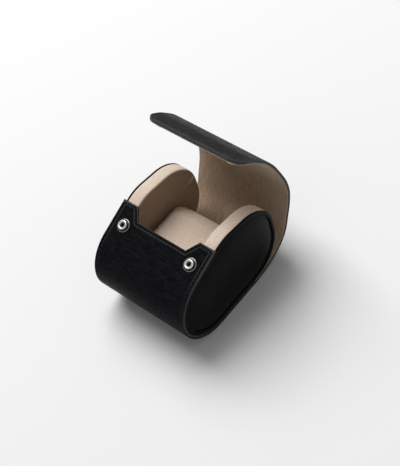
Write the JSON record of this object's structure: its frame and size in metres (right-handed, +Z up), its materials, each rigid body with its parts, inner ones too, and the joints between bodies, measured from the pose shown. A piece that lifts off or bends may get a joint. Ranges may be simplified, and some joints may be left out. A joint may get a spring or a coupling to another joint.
{
  "type": "watch travel case",
  "caption": "Drum-shaped leather travel case for a wrist watch, with padded end caps, a suede-lined well with a cushion, and a flap that snaps onto press studs.",
  "frame": {"origin": "centre of the flat base, on the surface the case stands on", "axes": "+X from the left end cap to the right one, -Y towards the front with the press studs, +Z up; the flap is open"},
  "size_m": [0.0834, 0.1207, 0.1202],
  "materials": {
    "grain_leather": "black fine-grained calf, satin",
    "smooth_leather": "black smooth calf, low sheen",
    "suede": "beige microsuede, matt",
    "board": "pressed fibre board",
    "foam": "soft foam",
    "nickel": "polished nickel plate",
    "spring_wire": "drawn spring wire"
  },
  "bodies": {
    "case": {"wrap_leather": "grain_leather", "wrap_board": "board", "wrap_lining": "suede", "left_cap_core": "board", "left_cap_pad": "foam", "left_cap_panel": "smooth_leather", "left_cap_edge": "smooth_leather", "left_cap_lining": "suede", "right_cap_core": "board", "right_cap_pad": "foam", "right_cap_panel": "smooth_leather", "right_cap_edge": "smooth_leather", "right_cap_lining": "suede", "cushion_core": "foam", "cushion_cover": "suede", "snap_studs": "nickel", "snap_posts": "nickel"},
    "flap_back": {"back_leather": "grain_leather", "back_board": "board", "back_lining": "suede"},
    "flap_shoulder": {"shoulder_leather": "grain_leather", "shoulder_board": "board", "shoulder_lining": "suede"},
    "flap_crown": {"crown_leather": "grain_leather", "crown_board": "board", "crown_lining": "suede"},
    "tongue": {"tongue_leather": "grain_leather", "tongue_board": "board", "tongue_lining": "suede", "snap_sockets": "nickel", "snap_springs": "spring_wire", "snap_caps": "nickel"}
  },
  "joints": [
    {"name": "flap_hinge", "type": "hinge", "parent": "case", "child": "flap_back", "pos_m": [0, 0.03359, 0.00318], "axis": [1, 0, 0], "range_deg": [-12, 22]},
    {"name": "shoulder_bend", "type": "hinge", "parent": "flap_back", "child": "flap_shoulder", "pos_m": [0, 0.06548, 0.03622], "axis": [1, 0, 0], "range_deg": [-10, 18.05]},
    {"name": "crown_bend", "type": "hinge", "parent": "flap_shoulder", "child": "flap_crown", "pos_m": [0, 0.06771, 0.0635], "axis": [1, 0, 0], "range_deg": [-8.5, 15.05]},
    {"name": "tongue_flex", "type": "hinge", "parent": "flap_crown", "child": "tongue", "pos_m": [0, 0.05991, 0.08857], "axis": [1, 0, 0], "range_deg": [-20, 6]}
  ],
  "couplings": [
    {"joint": "shoulder_bend", "follows": "flap_hinge", "ratio": 0.81818},
    {"joint": "crown_bend", "follows": "flap_hinge", "ratio": 0.68182}
  ]
}
